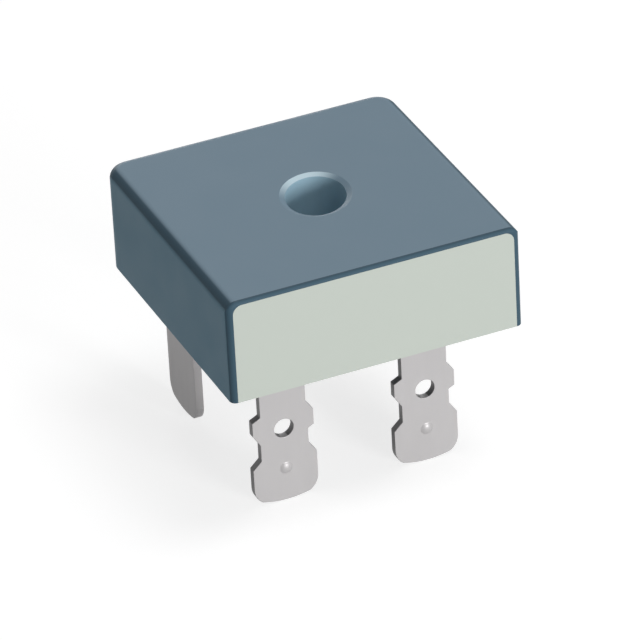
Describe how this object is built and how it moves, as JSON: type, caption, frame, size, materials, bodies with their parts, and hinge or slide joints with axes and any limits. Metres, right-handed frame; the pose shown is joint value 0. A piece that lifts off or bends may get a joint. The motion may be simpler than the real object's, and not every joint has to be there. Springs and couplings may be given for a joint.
{
  "type": "bridge rectifier",
  "caption": "Square single-phase bridge rectifier: potted plastic cup with a centre screw hole, a flat mounting face and tin-plated push-on tabs.",
  "frame": {"origin": "middle of the part's footprint, on the plane of the four tab tips", "axes": "+Z from the tab tips to the mounting face, -Y out of the pale marked face, X along that face with the turned positive tab at -X and +Y"},
  "size_m": [0.0286, 0.0286, 0.0255],
  "materials": {
    "case_blue": "smooth moulded, satin",
    "foil_pale": "plain matt foil, bare",
    "spreader_metal": "rolled sheet, fine grain",
    "bond_paste": "matt cured paste",
    "alumina": "fine matt fired ceramic",
    "copper_pad": "bare copper, lightly brushed",
    "tinned_tab": "matt tin plating on stamped copper sheet",
    "silicon": "polished dark silicon",
    "copper_clip": "bent bare copper strip",
    "solder": "reflowed solder, satin",
    "resin_dark": "poured resin, slightly glossy"
  },
  "bodies": {
    "root": {"case_shell": "case_blue", "marking_foil": "foil_pale", "heat_spreader": "spreader_metal", "ceramic_bond": "bond_paste", "ceramic_insulator": "alumina", "pad_plus": "copper_pad", "pad_minus": "copper_pad", "pad_ac_front": "copper_pad", "pad_ac_back": "copper_pad", "terminal_plus": "tinned_tab", "terminal_minus": "tinned_tab", "terminal_ac_front": "tinned_tab", "terminal_ac_back": "tinned_tab", "die_plus_from_ac_front": "silicon", "die_plus_from_ac_back": "silicon", "die_minus_to_ac_front": "silicon", "die_minus_to_ac_back": "silicon", "clip_ac_front": "copper_clip", "clip_ac_back": "copper_clip", "clip_minus_front": "copper_clip", "clip_minus_back": "copper_clip", "solder_under_dice": "solder", "solder_on_dice": "solder", "solder_clip_feet": "solder", "solder_terminal_feet": "solder", "potting_resin": "resin_dark"}
  },
  "joints": []
}
